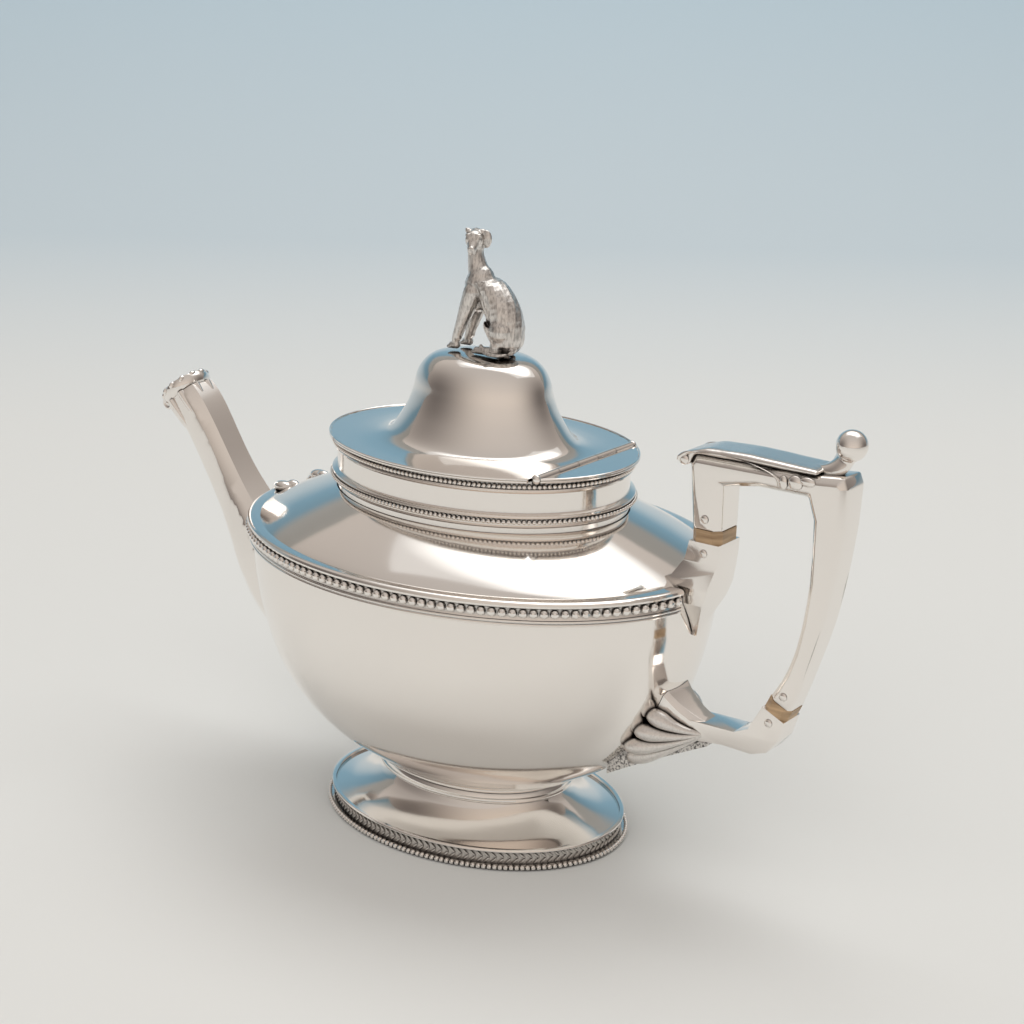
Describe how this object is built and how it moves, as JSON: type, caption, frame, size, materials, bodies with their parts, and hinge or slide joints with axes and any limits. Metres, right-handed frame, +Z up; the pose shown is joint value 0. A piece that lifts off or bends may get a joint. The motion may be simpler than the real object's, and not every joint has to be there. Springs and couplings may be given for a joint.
{
  "type": "silver teapot",
  "caption": "Oval footed silver teapot with a hinged domed lid, seated hound finial, faceted spout, beaded girdle and insulated scroll handle.",
  "frame": {"origin": "centre of the oval foot on the table", "axes": "+X towards the handle, -X towards the spout, +Z up"},
  "size_m": [0.2884, 0.135, 0.2056],
  "materials": {
    "polished_silver": "hand-polished silver with a warm tone and fine wear",
    "oxidised_silver": "chased silver with dark oxide left in the recesses",
    "bone": "satin bone with fine darker streaks along its grain"
  },
  "bodies": {
    "pot": {"foot_base_ring": "polished_silver", "foot_bead_wire": "polished_silver", "foot_chased_band": "oxidised_silver", "foot_rim_ring": "polished_silver", "foot_shell": "polished_silver", "waist_ring": "polished_silver", "bowl": "polished_silver", "shoulder": "polished_silver", "girdle_band": "polished_silver", "girdle_bead_wire": "polished_silver", "neck_collar": "polished_silver", "neck_lower_moulding": "polished_silver", "neck_lower_bead_wire": "polished_silver", "neck_upper_moulding": "polished_silver", "neck_upper_bead_wire": "polished_silver", "neck_rim": "polished_silver", "hinge_leaf": "polished_silver", "leaf_edge_wire": "polished_silver", "fixed_knuckles": "polished_silver", "hinge_pin": "polished_silver", "hinge_pin_caps": "polished_silver", "spout_body": "polished_silver", "spout_lip": "polished_silver", "insulator_pins": "polished_silver", "upper_insulator": "bone", "lower_insulator": "bone", "handle_grip": "polished_silver", "handle_upper_socket": "polished_silver", "handle_lower_socket": "polished_silver", "fan_palmette": "oxidised_silver", "thumb_leaf": "polished_silver", "thumb_knob": "polished_silver"},
    "lid": {"lid_shell": "polished_silver", "lid_edge_wire": "polished_silver", "lid_bezel": "polished_silver", "lid_knuckles": "polished_silver", "finial_hound": "oxidised_silver", "finial_stud": "polished_silver", "finial_washer": "polished_silver", "finial_nut": "polished_silver"}
  },
  "joints": [
    {"name": "lid_hinge", "type": "hinge", "parent": "pot", "child": "lid", "pos_m": [0.0421, 0, 0.135], "axis": [0, 1, 0], "range_deg": [0, 100]}
  ]
}
